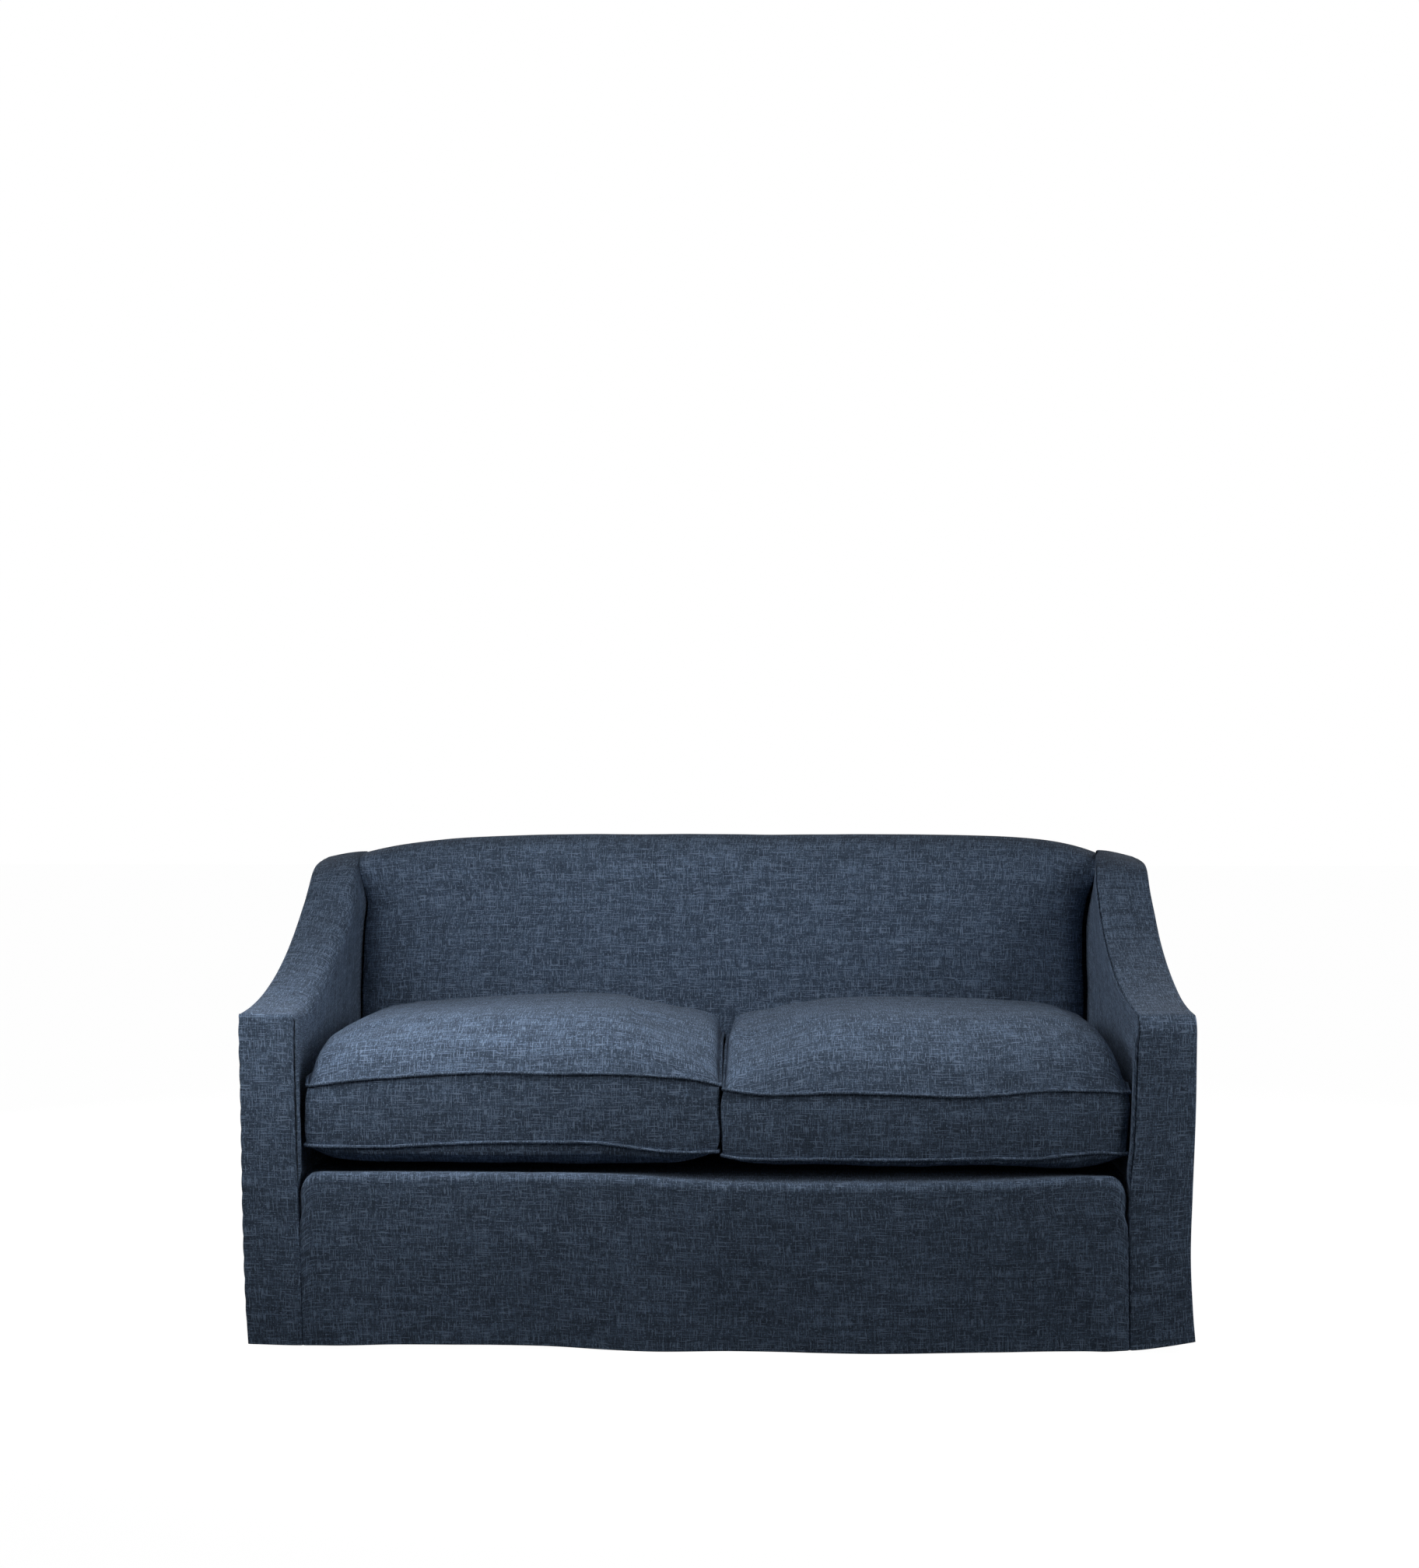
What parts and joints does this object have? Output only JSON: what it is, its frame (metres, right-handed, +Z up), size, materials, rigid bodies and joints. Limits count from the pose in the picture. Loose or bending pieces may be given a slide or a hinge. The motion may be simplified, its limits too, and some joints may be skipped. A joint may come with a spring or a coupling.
{
  "type": "sofa slipcover",
  "caption": "Loose linen slipcover for a small sofa with sloping arms, open underneath, hanging to the floor, with boxed and piped seat cushions.",
  "frame": {"origin": "on the floor, under the middle of the cover's box", "axes": "+X to the right as seen from the front, +Y from the front to the back, +Z up"},
  "size_m": [1.6185, 0.9108, 0.8468],
  "materials": {
    "cover_linen": "matt slub linen",
    "deck_linen": "matt slub linen",
    "cushion_linen": "matt slub linen",
    "piping_linen": "matt slub linen"
  },
  "bodies": {
    "root": {"inside_back": "cover_linen", "outside_back": "cover_linen", "arm_front_left": "cover_linen", "inside_arm_left": "cover_linen", "outside_arm_left": "cover_linen", "arm_band_right": "cover_linen", "inside_arm_right": "cover_linen", "outside_arm_right": "cover_linen", "seat_deck": "deck_linen", "front_border": "cover_linen", "cushion_left": "cushion_linen", "cushion_left_piping_top": "piping_linen", "cushion_left_piping_bottom": "piping_linen", "cushion_right": "cushion_linen", "cushion_right_piping_top": "piping_linen", "cushion_right_piping_bottom": "piping_linen"}
  },
  "joints": []
}
